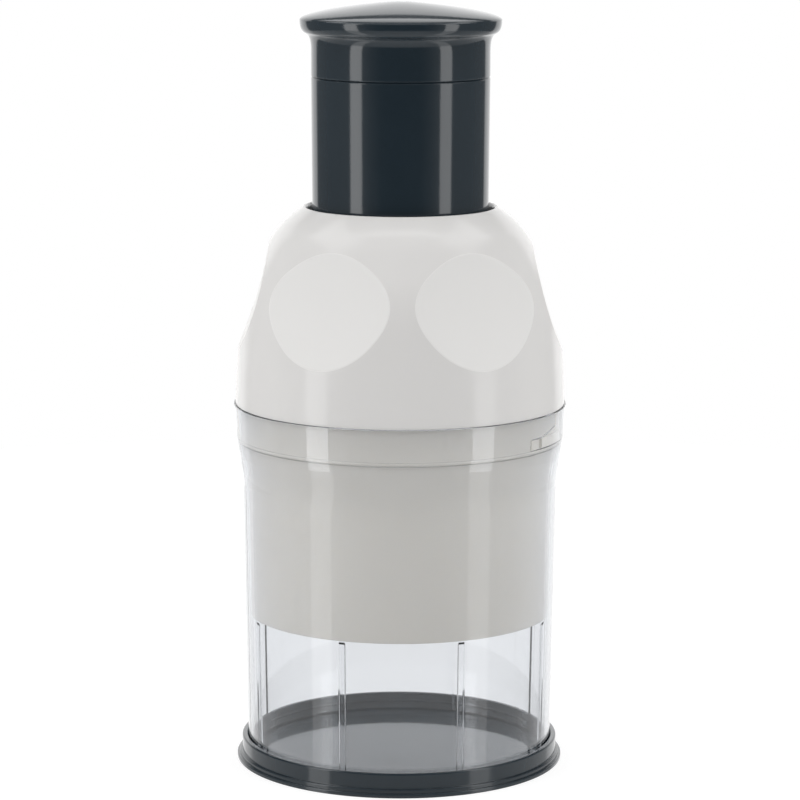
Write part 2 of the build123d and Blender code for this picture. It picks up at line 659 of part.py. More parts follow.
def shell_curve(inset):
    """Housing's outline from the seam to the lip, moved inwards by an inset."""
    z0 = SEAM_Z + GAP / 2
    height = NECK_Z - z0
    points = [(HOUSING_R, z0)] + [(HOUSING_R - inside, z0 + share * height) for inside, share in SHELL]
    outside = Spline(*points, (NECK_R + NECK_LIP, NECK_Z), tangents=[(0, 1), (-1, LIP_SLOPE)])
    if inset == 0:
        return outside
    moved = []
    for i in range(SHELL_STEPS + 1):
        at, along = outside @ (i / SHELL_STEPS), outside % (i / SHELL_STEPS)
        moved.append((at.X - inset * along.Y, at.Y + inset * along.X))
    return Spline(*moved)


def shell_form():
    """Solid form of the housing, open at the neck with a rounded lip."""
    z0 = SEAM_Z + GAP / 2
    pull = LIP_PULL * NECK_LIP
    lip_r = NECK_R + NECK_LIP
    outline = Curve() + [
        shell_curve(0),
        Bezier((lip_r, NECK_Z), (lip_r - pull, NECK_Z + pull * LIP_SLOPE),
               (NECK_R, NECK_Z - NECK_LIP + pull), (NECK_R, NECK_Z - NECK_LIP)),
        Polyline((NECK_R, NECK_Z - NECK_LIP), (NECK_R, z0), (HOUSING_R, z0)),
    ]
    return turned(Plane.XZ * make_face(outline), start=from_front(180.0))


def hollow_form():
    """Solid form of the space inside an even wall."""
    curve = shell_curve(HOUSING_WALL)
    low, high = curve @ 0, curve @ 1
    outline = Curve() + [curve, Polyline((high.X, high.Y), (0, high.Y), (0, low.Y), (low.X, low.Y))]
    return turned(Plane.XZ * make_face(outline))


def dish_scoops(inset):
    """Level drums that scoop the finger dishes, grown by an inset."""
    tilt = math.radians(DISH_TILT)
    r = HOUSING_R - DISH_IN + DISH_R * math.cos(tilt)
    z = SEAM_Z + DISH_SHARE * HOUSING_H + DISH_R * math.sin(tilt)
    drum = Rot(90, 0, 0) * Cylinder(DISH_R + inset, 2 * HOUSING_R)
    return [place(r, angle, z) * drum for angle in around(DISH_COUNT, 180.0 / DISH_COUNT)]


def housing():
    """Moulded head: dished form with an even wall, posts, guide ribs and neck."""
    body = shell_form()
    plain = body.edges()
    for scoop in dish_scoops(0):
        body -= scoop
    rims = [e for e in body.edges() if not any((e.center() - p.center()).length < 0.01 for p in plain)]
    body = fillet(rims, DISH_EDGE)
    hollow = hollow_form()
    for scoop in dish_scoops(HOUSING_WALL):
        hollow -= scoop
    hollow += ring(0, SKIRT_R + FIT, SEAM_Z, SEAM_Z + SKIRT_OVERLAP + FIT)
    hollow -= ring(0, NECK_R + NECK_COLLAR_WALL, GUIDE_Z + GUIDE_H, NECK_Z)
    supports = []
    for angle in around(ARM_COUNT):
        supports.append(rod(POST_R, ARM_TOP_Z, NECK_Z, POST_AT, angle))
        web = Box(POST_AT - guide_rib_r(), GUIDE_RIB_T, NECK_Z - ARM_TOP_Z - POST_R,
                  align=(Align.MIN, Align.CENTER, Align.MIN))
        supports.append(place(guide_rib_r(), angle, ARM_TOP_Z + POST_R) * web)
    below = ring(0, HOUSING_R, 0, SEAM_Z + GAP)
    for support in supports:
        hollow -= support
    body -= hollow
    for support in supports:
        body += support & below
    for angle in around(ARM_COUNT):
        body -= rod(SCREW_R + FIT, ARM_TOP_Z - CUT, BRIDGE_Z + SCREW_L + CUT, POST_AT, angle)
    return body


PIECES = {
    "base_cap": base_cap,
    "container": container,
    "housing": housing,
    "guard_cup": guard_cup,
    "scraper_retainer": scraper_retainer,
    "bridge": bridge,
    "bridge_screws": bridge_screws,
    "ratchet_pawls": ratchet_pawls,
    "ratchet_cover": ratchet_cover,
    "cover_screws": cover_screws,
    "stroke_buffer": stroke_buffer,
    "guide_ring": guide_ring,
    "return_spring": return_spring,
    "index_ring": index_ring,
    "scraper_disc": scraper_disc,
    "blade": blade,
    "blade_carrier": blade_carrier,
    "plunger_rod": plunger_rod,
    "rod_pin": rod_pin,
    "handle_cap": handle_cap,
    "handle_sleeve": handle_sleeve,
    "handle_core": handle_core,
    "core_screws": core_screws,
    "return_bumper": return_bumper,
}

os.makedirs("parts", exist_ok=True)
for name, make in PIECES.items():
    export_step(make(), f"parts/{name}.step")
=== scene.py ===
"""Plunger food chopper: finishes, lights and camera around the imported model."""

import math

import bpy
import numpy as np
from mathutils import Matrix, Vector


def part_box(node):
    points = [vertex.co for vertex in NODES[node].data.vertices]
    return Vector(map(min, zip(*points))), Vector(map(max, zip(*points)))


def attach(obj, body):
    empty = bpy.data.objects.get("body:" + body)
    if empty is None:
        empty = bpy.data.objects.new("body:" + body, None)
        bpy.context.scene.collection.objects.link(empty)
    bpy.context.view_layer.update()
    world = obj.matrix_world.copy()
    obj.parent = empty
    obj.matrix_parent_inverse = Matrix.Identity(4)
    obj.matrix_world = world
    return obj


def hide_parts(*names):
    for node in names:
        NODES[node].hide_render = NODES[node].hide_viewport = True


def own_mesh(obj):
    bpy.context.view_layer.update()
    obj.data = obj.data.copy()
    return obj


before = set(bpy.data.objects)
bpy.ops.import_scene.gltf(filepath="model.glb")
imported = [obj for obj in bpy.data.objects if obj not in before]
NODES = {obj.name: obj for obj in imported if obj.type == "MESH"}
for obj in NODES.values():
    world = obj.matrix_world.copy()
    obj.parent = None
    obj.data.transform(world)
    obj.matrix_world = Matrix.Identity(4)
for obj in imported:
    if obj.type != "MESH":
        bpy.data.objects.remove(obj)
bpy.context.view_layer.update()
MM = 0.001


# ---------------------------------------------------------------- node trees

def add(tree, kind, inputs=None, **settings):
    """New node with its settings, and its inputs set to values or linked to sockets."""
    made = tree.nodes.new(kind)
    for name, value in settings.items():
        setattr(made, name, value)
    for key, value in (inputs or {}).items():
        if isinstance(value, bpy.types.NodeSocket):
            tree.links.new(value, made.inputs[key])
        else:
            made.inputs[key].default_value = value
    return made


def calc(tree, operation, *values):
    """Output of a Math node over sockets and numbers."""
    return add(tree, "ShaderNodeMath", dict(enumerate(values)), operation=operation).outputs[0]


def remap(tree, value, start, end, low=0.0, high=1.0, kind="SMOOTHSTEP"):
    """Value carried from one range to another, held at both ends."""
    ranges = {"Value": value, "From Min": start, "From Max": end, "To Min": low, "To Max": high}
    return add(tree, "ShaderNodeMapRange", ranges, interpolation_type=kind).outputs[0]


def curve(tree, value, stops):
    """Value read off a line through (position, height) stops."""
    ramp = add(tree, "ShaderNodeValToRGB", {"Fac": value})
    points = ramp.color_ramp.elements
    for number, (at, height) in enumerate(stops):
        point = points[number] if number < 2 else points.new(at)
        point.position = at
        point.color = (height, height, height, 1.0)
    return ramp.outputs[0]


def mix_colour(tree, share, first, second):
    """Colour between two others by a share from 0 to 1."""
    return add(tree, "ShaderNodeMix", {0: share, 6: first, 7: second}, data_type="RGBA").outputs[2]


# ---------------------------------------------------------------- camera

CAMERA_AT = (0.0, -1.0264, 0.2913)   # metres, before the orbit
CAMERA_PITCH = 0.17161               # radians down from level
CAMERA_ROLL = 0.0025                 # radians
CAMERA_ORBIT = -0.9                  # degrees about the object's axis
CAMERA_LENS = 150.55                 # millimetres, on a sensor of 36
CAMERA_SHIFT_X = 0.0001


def make_camera():
    """Long-lens camera in front of the object, looking slightly down."""
    data = bpy.data.cameras.new("camera")
    data.sensor_width = 36.0
    data.lens = CAMERA_LENS
    data.shift_x = CAMERA_SHIFT_X
    camera = bpy.data.objects.new("camera", data)
    bpy.context.scene.collection.objects.link(camera)
    turn = Matrix.Rotation(math.pi / 2 - CAMERA_PITCH, 4, "X") @ Matrix.Rotation(CAMERA_ROLL, 4, "Z")
    orbit = Matrix.Rotation(math.radians(CAMERA_ORBIT), 4, "Z")
    camera.matrix_world = orbit @ Matrix.Translation(CAMERA_AT) @ turn
    bpy.context.scene.camera = camera


# ---------------------------------------------------------------- light

STRIP_DISTANCE = 0.85   # metres, as all sizes and places of the lights
STRIP_SIZE = (0.25, 1.20)
STRIP_Z = 0.40
STRIPS = (("strip_left", -59.4, 3.1), ("strip_right", 58.6, 2.65))  # degrees right of the front, watts
PANEL_Z = 0.95
PANEL_SIZE = (0.50, 0.70)
PANEL_X = 0.62
PANEL_Y = 0.08
PANEL_POWER = 2.2
BAND_Y = -0.04
BAND_SIZE = (0.75, 0.12)
BAND_POWER = 0.55


def area_light(name, at, towards, size, power):
    """Rectangular soft light at a point, facing another."""
    data = bpy.data.lights.new(name, "AREA")
    data.shape = "RECTANGLE"
    data.size, data.size_y = size
    data.energy = power
    light = bpy.data.objects.new(name, data)
    bpy.context.scene.collection.objects.link(light)
    aim = (Vector(towards) - Vector(at)).to_track_quat("-Z", "Y")
    light.matrix_world = Matrix.Translation(at) @ aim.to_matrix().to_4x4()
    return light


def make_lights():
    """Upright strips left and right of the camera, two panels overhead and a thin band between them."""
    for name, bearing, power in STRIPS:
        a = math.radians(bearing)
        at = (STRIP_DISTANCE * math.sin(a), -STRIP_DISTANCE * math.cos(a), STRIP_Z)
        area_light(name, at, (0.0, 0.0, STRIP_Z), STRIP_SIZE, power)
    for name, x in (("panel_left", -PANEL_X), ("panel_right", PANEL_X)):
        area_light(name, (x, PANEL_Y, PANEL_Z), (x, PANEL_Y, 0.0), PANEL_SIZE, PANEL_POWER)
    area_light("band", (0.0, BAND_Y, PANEL_Z), (0.0, BAND_Y, 0.0), BAND_SIZE, BAND_POWER)


ROOM = (            # brightness round the object: share of a half turn from the front
    (0.0, 0.08), (0.14, 0.10), (0.21, 0.24), (0.26, 0.42), (0.42, 0.42), (0.53, 0.33),
    (0.70, 0.24), (0.755, 0.22), (0.78, 1.0), (1.0, 1.0),
)
BEHIND = (0.755, 0.78)                     # shares of a half turn where the backdrop's edge starts and ends
BACKDROP_GAIN = 1.26
BACKDROP_TOP = 25.8                        # degrees above the horizon, as all rises below
BACKDROP_BLEND = (-0.4, 0.8)               # from its top, where it starts to give way and is gone
BACKDROP_FADE = (8.0, -0.24)               # where it starts to fade upwards, how much is gone at its top
BACKDROP_LOW = (6.0, -0.02)                # half the height of the step at the horizon, and the step
CEILING_BACK = (20.0, 75.0, 0.18, 0.34)    # two rises, and the brightness at each
CEILING_FRONT = (22.0, 62.0, 0.12, 0.62)
FORWARD = (0.35, -0.25)                    # backward part of a direction where the front's ceiling starts, is full
BACK_LIGHT = 1.84                          # round soft light above the backdrop
BACK_LIGHT_UP = 39.0
BACK_LIGHT_EDGE = (30.0, 5.0)              # degrees from its middle where it starts and where it is full
BACK_LIGHT_FOOT = (33.0, 36.0)             # rises between which it is cut off below


def make_world():
    """Studio: white for the camera and through glass, and for the rest dim in front, a little
    brighter at the sides, with a white backdrop behind and a round soft light above it."""
    world = bpy.data.worlds.new("studio")
    bpy.context.scene.world = world
    world.use_nodes = True
    tree = world.node_tree
    tree.nodes.clear()
    place = add(tree, "ShaderNodeTexCoord").outputs["Generated"]
    x, y, z = add(tree, "ShaderNodeSeparateXYZ", {0: place}).outputs
    turn = calc(tree, "ARCTAN2", x, calc(tree, "MULTIPLY", y, -1.0))
    turn = calc(tree, "DIVIDE", calc(tree, "ABSOLUTE", turn), math.pi)
    rise = calc(tree, "DEGREES", calc(tree, "ARCSINE", z))
    behind = remap(tree, turn, *BEHIND)
    round_about = calc(tree, "MULTIPLY", curve(tree, turn, ROOM), remap(tree, behind, 0.0, 1.0, 1.0, BACKDROP_GAIN))
    step, deep = BACKDROP_LOW
    low = calc(tree, "MULTIPLY", behind, remap(tree, rise, -step, step, deep, 0.0))
    start, gone = BACKDROP_FADE
    fade = calc(tree, "MULTIPLY", behind, remap(tree, rise, start, BACKDROP_TOP, 0.0, gone))
    backdrop = calc(tree, "ADD", calc(tree, "ADD", round_about, low), fade)
    above = remap(tree, rise, *(BACKDROP_TOP + shift for shift in BACKDROP_BLEND))
    ceiling_back = remap(tree, rise, *CEILING_BACK)
    ceiling_front = remap(tree, rise, *CEILING_FRONT)
    high = add(tree, "ShaderNodeMix", {0: remap(tree, y, *FORWARD), 2: ceiling_back, 3: ceiling_front}).outputs[0]
    room = add(tree, "ShaderNodeMix", {0: above, 2: backdrop, 3: high}).outputs[0]
    up = math.radians(BACK_LIGHT_UP)
    centre = calc(tree, "ADD", calc(tree, "MULTIPLY", y, math.cos(up)), calc(tree, "MULTIPLY", z, math.sin(up)))
    edge, full = (math.cos(math.radians(apart)) for apart in BACK_LIGHT_EDGE)
    spot = remap(tree, centre, edge, full, 0.0, BACK_LIGHT)
    spot = calc(tree, "MULTIPLY", spot, remap(tree, rise, *BACK_LIGHT_FOOT))
    studio = calc(tree, "ADD", room, spot)
    path = add(tree, "ShaderNodeLightPath").outputs
    seen = calc(tree, "MAXIMUM", path["Is Camera Ray"], path["Is Transmission Ray"])
    strength = add(tree, "ShaderNodeMix", {0: seen, 2: studio, 3: 1.0}).outputs[0]
    background = add(tree, "ShaderNodeBackground", {"Color": (1.0, 1.0, 1.0, 1.0), "Strength": strength})
    add(tree, "ShaderNodeOutputWorld", {"Surface": background.outputs[0]})


FLOOR_RADIUS = 0.55
FLOOR_GLOW = 0.80
FLOOR_SHADE = 0.30
FLOOR_ALBEDO = 0.88
TABLE_GLOW = 0.72
TABLE_GLOSS = 0.40


def make_floor():
    """Pale disc under the object. Seen directly it glows and keeps the shadow; a glossy surface
    sees it as a polished white table top; it lights the object as plain white."""
    bpy.ops.mesh.primitive_circle_add(vertices=128, radius=FLOOR_RADIUS, fill_type="NGON")
    floor = bpy.context.object
    floor.name = "floor"
    material = bpy.data.materials.new("floor_white")
    material.use_nodes = True
    tree = material.node_tree
    tree.nodes.clear()
    path = add(tree, "ShaderNodeLightPath").outputs
    seen = calc(tree, "MAXIMUM", path["Is Camera Ray"], path["Is Transmission Ray"])
    pale = add(tree, "ShaderNodeBsdfDiffuse", {"Color": (FLOOR_ALBEDO,) * 3 + (1.0,)})
    shade = add(tree, "ShaderNodeBsdfDiffuse", {"Color": (FLOOR_SHADE,) * 3 + (1.0,)})
    glow = add(tree, "ShaderNodeEmission", {"Strength": FLOOR_GLOW})
    table_glow = add(tree, "ShaderNodeEmission", {"Strength": TABLE_GLOW})
    polish = add(tree, "ShaderNodeBsdfGlossy", {"Color": (TABLE_GLOSS,) * 3 + (1.0,), "Roughness": 0.06})
    direct = add(tree, "ShaderNodeAddShader", {0: shade.outputs[0], 1: glow.outputs[0]})
    table = add(tree, "ShaderNodeAddShader", {0: table_glow.outputs[0], 1: polish.outputs[0]})
    mirrored = add(tree, "ShaderNodeMixShader", {0: path["Is Glossy Ray"], 1: pale.outputs[0], 2: table.outputs[0]})
    mix = add(tree, "ShaderNodeMixShader", {0: seen, 1: mirrored.outputs[0], 2: direct.outputs[0]})
    add(tree, "ShaderNodeOutputMaterial", {"Surface": mix.outputs[0]})
    floor.data.materials.append(material)


# ---------------------------------------------------------------- shared effects

def new_group(name, inputs, outputs):
    """Empty node group with named float inputs and its outputs; gives it with its two ends."""
    group = bpy.data.node_groups.new(name, "ShaderNodeTree")
    for socket, value in inputs.items():
        made = group.interface.new_socket(name=socket, in_out="INPUT", socket_type="NodeSocketFloat")
        made.default_value = value
    for socket, kind in outputs.items():
        group.interface.new_socket(name=socket, in_out="OUTPUT", socket_type=kind)
    return group, add(group, "NodeGroupInput").outputs, add(group, "NodeGroupOutput").inputs


def skin_group():
    """Moulded plastic's skin: a faint ripple, fine pores and slow patches of more and less gloss."""
    group, given, result = new_group(
        "moulded_skin", {"ripple": 60.0, "pores": 1400.0, "patches": 35.0},
        {"height": "NodeSocketFloat", "patch": "NodeSocketFloat"},
    )
    place = add(group, "ShaderNodeTexCoord").outputs["Object"]
    ripple = add(group, "ShaderNodeTexNoise", {"Vector": place, "Scale": given["ripple"], "Detail": 1.0}).outputs[0]
    pores = add(group, "ShaderNodeTexNoise", {"Vector": place, "Scale": given["pores"], "Detail": 2.0}).outputs[0]
    patch = add(group, "ShaderNodeTexNoise", {"Vector": place, "Scale": given["patches"], "Detail": 4.0}).outputs[0]
    height = calc(group, "ADD", ripple, calc(group, "MULTIPLY", pores, 0.06))
    group.links.new(height, result["height"])
    group.links.new(remap(group, patch, 0.35, 0.65), result["patch"])
    return group


def rub_group():
    """Edges that hands and neighbours rub: where the rounded normal leaves the flat one, broken by noise."""
    group, given, result = new_group(
        "edge_rub", {"width": 0.0006, "breaks": 220.0}, {"rub": "NodeSocketFloat", "normal": "NodeSocketVector"},
    )
    rounded = add(group, "ShaderNodeBevel", {"Radius": given["width"]}, samples=4).outputs[0]
    flat = add(group, "ShaderNodeNewGeometry").outputs["Normal"]
    along = add(group, "ShaderNodeVectorMath", {0: rounded, 1: flat}, operation="DOT_PRODUCT").outputs["Value"]
    edge = remap(group, along, 0.998, 0.93)
    place = add(group, "ShaderNodeTexCoord").outputs["Object"]
    noise = add(group, "ShaderNodeTexNoise", {"Vector": place, "Scale": given["breaks"], "Detail": 3.0}).outputs[0]
    group.links.new(calc(group, "MULTIPLY", edge, remap(group, noise, 0.38, 0.62)), result["rub"])
    group.links.new(rounded, result["normal"])
    return group


def drawn_out(group, place, across, along):
    """Position scaled by one number across the axis and another along it."""
    parts = add(group, "ShaderNodeSeparateXYZ", {0: place}).outputs
    scaled = [calc(group, "MULTIPLY", part, scale) for part, scale in zip(parts, (across, across, along))]
    return add(group, "ShaderNodeCombineXYZ", dict(enumerate(scaled))).outputs[0]


def hairline_group():
    """Fine scratches: noise drawn out by separate scales across and along the axis, cut to thin lines."""
    group, given, result = new_group(
        "hairlines", {"across": 900.0, "along": 12.0, "share": 0.62},
        {"line": "NodeSocketFloat", "height": "NodeSocketFloat"},
    )
    place = drawn_out(group, add(group, "ShaderNodeTexCoord").outputs["Object"], given["across"], given["along"])
    noise = add(group, "ShaderNodeTexNoise", {"Vector": place, "Scale": 1.0, "Detail": 3.0}).outputs[0]
    line = remap(group, noise, given["share"], calc(group, "ADD", given["share"], 0.08))
    group.links.new(line, result["line"])
    group.links.new(noise, result["height"])
    return group


def turned_group():
    """Turning or drawing marks: fine rings across the axis with a slow wobble."""
    group, given, result = new_group(
        "turned_marks", {"pitch": 2600.0, "wobble": 40.0}, {"height": "NodeSocketFloat", "tone": "NodeSocketFloat"},
    )
    place = add(group, "ShaderNodeTexCoord").outputs["Object"]
    scaled = drawn_out(group, place, given["wobble"], given["pitch"])
    rings = add(group, "ShaderNodeTexNoise", {"Vector": scaled, "Scale": 1.0, "Detail": 2.0}).outputs[0]
    slow = add(group, "ShaderNodeTexNoise", {"Vector": place, "Scale": 90.0, "Detail": 3.0}).outputs[0]
    group.links.new(rings, result["height"])
    group.links.new(calc(group, "MULTIPLY", calc(group, "ADD", rings, slow), 0.5), result["tone"])
    return group


DISH_AXIS_R = 155.47 * MM   # the scoop's level axis, from the object's
DISH_AXIS_Z = 178.99 * MM
DISH_R = 116.0 * MM


def hypotenuse(group, first, second):
    """Distance made of two others that are square to each other."""
    squares = (calc(group, "MULTIPLY", value, value) for value in (first, second))
    return calc(group, "SQRT", calc(group, "ADD", *squares))


def dish_group():
    """Finger dishes: the six places where the wall follows the scoop's drum, found by folding the
    bearing into one sixth of a turn and measuring the distance to the drum's axis."""
    group, given, result = new_group("dish_field", {"edge": 0.00012}, {"dish": "NodeSocketFloat"})
    place = add(group, "ShaderNodeTexCoord").outputs["Object"]
    x, y, z = add(group, "ShaderNodeSeparateXYZ", {0: place}).outputs
    bearing = calc(group, "WRAP", calc(group, "ARCTAN2", y, x), math.pi / 6, -math.pi / 6)
    reach = hypotenuse(group, x, y)
    out = calc(group, "SUBTRACT", calc(group, "MULTIPLY", reach, calc(group, "COSINE", bearing)), DISH_AXIS_R)
    up = calc(group, "SUBTRACT", z, DISH_AXIS_Z)
    far = calc(group, "ADD", given["edge"], DISH_R)
    group.links.new(calc(group, "LESS_THAN", hypotenuse(group, out, up), far), result["dish"])
    return group


SKIN = skin_group()
RUB = rub_group()
HAIRLINES = hairline_group()
TURNED = turned_group()
DISHES = dish_group()


def use(tree, group, **values):
    """One use of a shared effect with its own values; gives its outputs."""
    made = add(tree, "ShaderNodeGroup", node_tree=group)
    for name, value in values.items():
        made.inputs[name].default_value = value
    return made.outputs


# ---------------------------------------------------------------- turned pieces

def rounded(corners, radii, steps=6):
    """Line through corners, each replaced by a parabola that leaves its sides a radius away from it:
    (1 - t)^2 P1 + 2 t (1 - t) P + t^2 P2, for all corners and all t at once."""
    corners = np.asarray(corners, float)
    reach = np.asarray(radii, float)[:, None]
    before, after = np.roll(corners, 1, axis=0) - corners, np.roll(corners, -1, axis=0) - corners
    first = corners + reach * before / np.linalg.norm(before, axis=1)[:, None]
    last = corners + reach * after / np.linalg.norm(after, axis=1)[:, None]
    t = np.linspace(0.0, 1.0, steps)[None, :, None]
    line = (1 - t) ** 2 * first[:, None] + 2 * t * (1 - t) * corners[:, None] + t ** 2 * last[:, None]
    line = line.reshape(-1, 2)
    return line[np.r_[True, np.linalg.norm(np.diff(line, axis=0), axis=1) > 1e-6]]


def new_piece(name, points, faces):
    """Smooth mesh object at the origin, with normals weighted by face area."""
    mesh = bpy.data.meshes.new(name)
    mesh.from_pydata(points, [], faces)
    mesh.shade_smooth()
    piece = bpy.data.objects.new(name, mesh)
    bpy.context.scene.collection.objects.link(piece)
    piece.modifiers.new("even_normals", "WEIGHTED_NORMAL")
    return piece


def turned_solid(name, profile, sides=256):
    """Profile of radius and height turned about the axis: (r cos a, r sin a, z). Its first and last
    points lie on the axis and become single poles, and each pair of rings between them is one row of quads."""
    radius, height = (profile[1:-1] * MM).T
    angle = np.arange(sides) * 2 * math.pi / sides
    rings = np.stack([
        np.outer(radius, np.cos(angle)), np.outer(radius, np.sin(angle)), np.repeat(height[:, None], sides, axis=1),
    ], axis=-1).reshape(-1, 3)
    poles = [(0.0, 0.0, profile[0, 1] * MM), (0.0, 0.0, profile[-1, 1] * MM)]
    here = np.arange(sides)
    there = np.roll(here, -1)
    down = np.arange(len(radius) - 1)[:, None] * sides
    quads = np.stack([down + here, down + sides + here, down + sides + there, down + there], axis=-1).reshape(-1, 4)
    end = len(rings) - sides
    top = np.stack([np.full(sides, len(rings)), here, there], axis=-1)
    foot = np.stack([np.full(sides, len(rings) + 1), end + there, end + here], axis=-1)
    return new_piece(name, rings.tolist() + poles, quads.tolist() + top.tolist() + foot.tolist())


BASE_FLOOR_Z = 2.0                        # millimetres, as all sizes of the base and the tube
BASE_UNDER_Z = 0.8
BASE_BORE_R = 47.8
BASE_RIM_R = 49.5
BASE_RIM_Z = 7.25
BASE_TIERS = ((50.3, 2.5), (51.1, 1.3))   # radius and top of the flange's two tiers
BASE_FOOT_R = 45.1
SNAP_BEAD = (0.25, 4.5, 0.45)             # how far it stands in, height, half its width
BASE_ROUNDS = (0, 0.5, 0.15, 0.2, 0.15, 0.35, 0.6, 0.2, 0.4, 0.12, 0.4, 0.3, 0.3, 0.3, 0)   # corner by corner


def make_base():
    """Base cap: floor, upstanding rim with a fine snap bead inside, and a two-tier flange on a ring foot."""
    proud, bead_z, half = SNAP_BEAD
    (tier_r, tier_z), (flange_r, flange_z) = BASE_TIERS
    corners = [
        (0, BASE_FLOOR_Z), (BASE_BORE_R, BASE_FLOOR_Z), (BASE_BORE_R, bead_z - half), (BASE_BORE_R - proud, bead_z),
        (BASE_BORE_R, bead_z + half), (BASE_BORE_R, BASE_RIM_Z), (BASE_RIM_R, BASE_RIM_Z), (BASE_RIM_R, tier_z),
        (tier_r, tier_z), (tier_r, flange_z), (flange_r, flange_z), (flange_r, 0), (BASE_FOOT_R, 0),
        (BASE_FOOT_R, BASE_UNDER_Z), (0, BASE_UNDER_Z),
    ]
    base = turned_solid("base_dish", rounded(corners, BASE_ROUNDS))
    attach(base, "base")
    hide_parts("base_cap")
    return base


TUBE_FOOT = (2.3, 47.5, 46.1)       # height, outside and inside radius, as in the next three
TUBE_FLARE = (87.5, 48.8, 47.4)
TUBE_LEDGE = (101.7, 51.05, 48.6)   # its outside radius is reached a little higher
TUBE_LIP = (113.0, 51.6, 49.4)
OUTER_FLARE_TOP = 105.7
LEDGE_RECESS = (0.14, 1.25)         # fine recess above the ledge: depth, height
RIB_COUNT = 8
RIB = (0.5, 1.1, 0.3)               # how far it stands in, half its width, width of a side
RIB_TOP = (45.9, 46.8)              # where it starts and ends running out
GROOVE = (51.0, 57.0, 68.4, 101.5)  # bearings of a bayonet groove: closed end, ramp, way out, open end
GROOVE_D = 0.9
GROOVE_Z = (103.0, 106.6, 108.9)    # floor, roof, top of the ramp
GROOVE_LINE = 0.20                  # the bore steps out this much where the groove starts
GROOVE_SIDE = 0.1                   # degrees, half the width of the groove's ends
GROOVE_SILL = (-0.05, 0.1)          # from the floor, where the step starts and ends
GROOVE_BROW = 0.06                  # half the height of the step at the roof
WAY_OUT_SIDE = 0.2                  # degrees, half the width of the way out's side
FLARE_PULL = 0.2                    # length of the flare's two upright handles outside, by its height
SHOULDER_PULL = 0.45                # the same inside
LIP_ROUND = 0.2
FOOT_ROUND = 0.3
STEP_ROUNDS = (0.08, 0.06, 0.04, 0.04)   # ledge's edge and corner, then the recess top's corner and edge
BORE_ROW = 0.15                     # between the grid's rows in the bore
EVEN_COLUMNS = 240                  # of the grid, all round the tube
RIB_COLUMNS = 21                    # close ones at each rib, within these degrees beside its middle
RIB_ARC = 1.7
GROOVE_COLUMN = 0.18                # degrees between columns at a groove, and how far they reach past
GROOVE_PAST = (0.6, 0.8, 0.7)       # its closed end, its way out, and its open end at both sides
CLOSEST = 0.04                      # degrees, the least between two columns


def ease(x, start, end):
    """Smooth step 3t^2 - 2t^3 from 0 at the start to 1 at the end."""
    t = np.clip((x - start) / (end - start), 0.0, 1.0)
    return t * t * (3.0 - 2.0 * t)


def swept(start, end, pull, steps=12):
    """Cubic between two points of radius and height, upright at both ends:
    (1-t)^3 P0 + 3t(1-t)^2 P1 + 3t^2(1-t) P2 + t^3 P3."""
    (r0, z0), (r3, z3) = start, end
    k = pull * (z3 - z0)
    t = np.linspace(0.0, 1.0, steps)[:, None]
    points = [np.array(p) for p in ((r0, z0), (r0, z0 + k), (r3, z3 - k), (r3, z3))]
    weights = ((1 - t) ** 3, 3 * t * (1 - t) ** 2, 3 * t ** 2 * (1 - t), t ** 3)
    return sum(w * p for w, p in zip(weights, points))


def turned_ring(name, radius, height, angle):
    """Closed ring from whole grids of radius and height, profile points by bearings:
    (r cos a, r sin a, z), joined to itself in both directions."""
    points = np.stack([radius * np.cos(angle), radius * np.sin(angle), height], axis=-1).reshape(-1, 3) * MM
    here = np.arange(radius.size).reshape(radius.shape)
    down, there = np.roll(here, -1, axis=0), np.roll(here, -1, axis=1)
    quads = np.stack([here, down, np.roll(down, -1, axis=1), there], axis=-1).reshape(-1, 4)
    return new_piece(name, points.tolist(), quads.tolist())


def tube_profile():
    """Section of the container, down its outside, up its inside and over its lip; the flag marks the inside."""
    (foot_z, foot_out, foot_in), (flare_z, flare_out, flare_in) = TUBE_FOOT, TUBE_FLARE
    (ledge_z, ledge_out, ledge_in), (lip_z, lip_out, bore) = TUBE_LEDGE, TUBE_LIP
    depth, recess = LEDGE_RECESS
    outside = [(lip_out, lip_z)]
    outside += swept((ledge_out, OUTER_FLARE_TOP), (flare_out, flare_z), FLARE_PULL).tolist() + [(foot_out, foot_z)]
    rows = np.linspace(*RIB_TOP, 10)
    wall = np.stack([np.interp(rows, (foot_z, flare_z), (foot_in, flare_in)), rows], axis=-1).tolist()
    inside = [(foot_in, foot_z)] + wall + swept((flare_in, flare_z), (ledge_in, ledge_z), SHOULDER_PULL).tolist()
    inside += [(bore + depth, ledge_z), (bore + depth, ledge_z + recess), (bore, ledge_z + recess)]
    inside += [(bore, z) for z in np.arange(ledge_z + recess + 0.1, lip_z - 0.5, BORE_ROW)] + [(bore, lip_z)]
    corners = outside + inside
    radii = [0.0] * len(corners)
    step = inside.index((bore, ledge_z + recess)) + len(outside)
    radii[step - 3:step + 1] = STEP_ROUNDS
    radii[0] = radii[-1] = LIP_ROUND
    radii[len(outside) - 1] = radii[len(outside)] = FOOT_ROUND
    line = rounded(corners, radii, 5)
    heights, out, within = zip(TUBE_FOOT, TUBE_FLARE, TUBE_LEDGE, TUBE_LIP)
    middle = (np.interp(line[:, 1], heights, out) + np.interp(line[:, 1], heights, within)) / 2
    return line, line[:, 0] < middle


